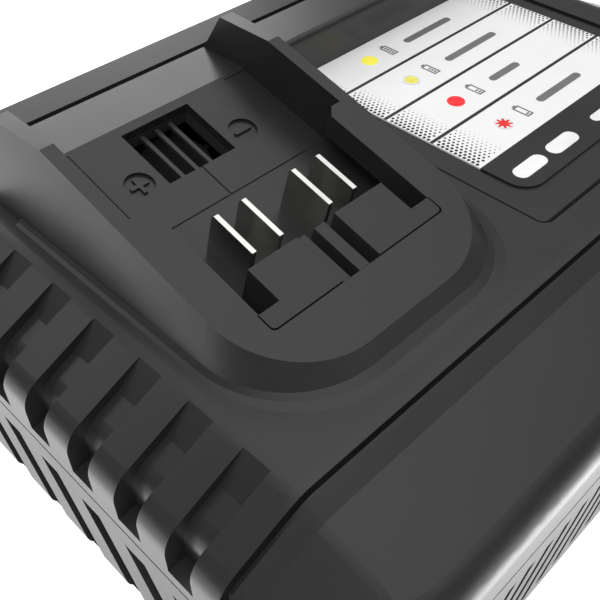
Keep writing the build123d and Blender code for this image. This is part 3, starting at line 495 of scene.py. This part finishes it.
# ------------------------------------------------------------------ camera at the photograph's place
CAMERA_PLACE = (-146.9, -99.05, 172.44)
AZIMUTH, ELEVATION, ROLL = math.radians(-44.76), math.radians(44.81), math.radians(-0.39)
camera_data = bpy.data.cameras.new("camera")
camera_data.sensor_width = 36.0
camera_data.lens = 50.17
camera_data.clip_start = 0.005
camera_data.clip_end = 50.0
camera = bpy.data.objects.new("camera", camera_data)
bpy.context.scene.collection.objects.link(camera)
turn = (Matrix.Rotation(AZIMUTH, 4, "Z") @ Matrix.Rotation(math.pi / 2 - ELEVATION, 4, "X")
        @ Matrix.Rotation(ROLL, 4, "Z"))
camera.matrix_world = Matrix.Translation(Vector(CAMERA_PLACE) * MM) @ turn
bpy.context.scene.camera = camera


# ------------------------------------------------------------------ lamps, in metres and watts
def area(name, place, target, size, power):
    """Rectangular lamp at place that faces target and that the camera doesn't see."""
    data = bpy.data.lights.new(name, "AREA")
    data.shape = "RECTANGLE"
    data.size, data.size_y = size
    data.energy = power
    lamp = bpy.data.objects.new(name, data)
    bpy.context.scene.collection.objects.link(lamp)
    lamp.location = place
    lamp.rotation_mode = "QUATERNION"
    lamp.rotation_quaternion = (Vector(place) - Vector(target)).to_track_quat("Z", "Y")
    lamp.visible_camera = False
    return lamp


area("light_rear", (0.385, 0.975, 0.60), (0.0, 0.05, 0.05), (0.8, 0.42), 3.6)
key_lamp = area("light_key", (-0.62, -0.55, 1.15), (0.0, 0.0, 0.05), (0.8, 0.6), 10.5)
key_lamp.visible_glossy = False  # it would mirror as one bright facet in the front left corner
area("light_left", (-0.42, 0.79, 0.80), (0.0, 0.0, 0.05), (0.45, 0.35), 0.55)
# strips that lie on the table and shine up, beside the left wall and in front of the front wall
area("light_strip_left", (-0.158, -0.065, 0.001), (-0.158, -0.065, 1.0), (0.05, 0.36), 0.06)
area("light_strip_front", (0.03, -0.122, 0.001), (0.03, -0.122, 1.0), (0.32, 0.055), 0.26)

# ------------------------------------------------------------------ world: pale overhead and to the right
BRIGHT_SIDE = (0.258, 0.061, 1.0)
WORLD_RAMP = {"From Min": 0.755, "From Max": 0.987, "To Min": 0.25, "To Max": 1.3}
WHITE_STRENGTH = 1.0
world = bpy.data.worlds.new("world")
bpy.context.scene.world = world
world.use_nodes = True
tree = world.node_tree
background = tree.nodes["Background"]
background.inputs["Color"].default_value = WHITE
path = tree.nodes.new("ShaderNodeLightPath")
direction = tree.nodes.new("ShaderNodeTexCoord")
lean = tree.nodes.new("ShaderNodeVectorMath")
lean.operation = "DOT_PRODUCT"
tree.links.new(direction.outputs["Generated"], lean.inputs[0])
lean.inputs[1].default_value = BRIGHT_SIDE
rise = tree.nodes.new("ShaderNodeMapRange")
tree.links.new(lean.outputs["Value"], rise.inputs["Value"])
for key, number in WORLD_RAMP.items():
    rise.inputs[key].default_value = number
# the camera sees plain white behind the object
strength = tree.nodes.new("ShaderNodeMix")
strength.data_type = "FLOAT"
tree.links.new(path.outputs["Is Camera Ray"], strength.inputs["Factor"])
tree.links.new(rise.outputs["Result"], strength.inputs["A"])
strength.inputs["B"].default_value = WHITE_STRENGTH
tree.links.new(strength.outputs["Result"], background.inputs["Strength"])

# ------------------------------------------------------------------ floor: white to all but diffuse rays
FLOOR_HALF = 4.0
floor_mesh = bpy.data.meshes.new("floor")
floor_mesh.from_pydata([(x, y, 0) for x, y in bar(-FLOOR_HALF, FLOOR_HALF, -FLOOR_HALF, FLOOR_HALF)],
                       [], [(0, 1, 2, 3)])
floor = bpy.data.objects.new("floor", floor_mesh)
bpy.context.scene.collection.objects.link(floor)
paper = Shader("floor_paper")
paper.set("Base Color", paper.blend(paper.noise(30.0), (0.60, 0.60, 0.60), (0.62, 0.62, 0.62)))
paper.set("Roughness", 0.9)
paper.set("Specular IOR Level", 0.0)
rays = paper.node("ShaderNodeLightPath").outputs
paper.glow(WHITE, paper.math("MAXIMUM", rays["Is Camera Ray"],
                             paper.math("MAXIMUM", rays["Is Glossy Ray"], rays["Is Transmission Ray"])))
floor_mesh.materials.append(paper.material)

bpy.context.scene.view_settings.view_transform = "Standard"
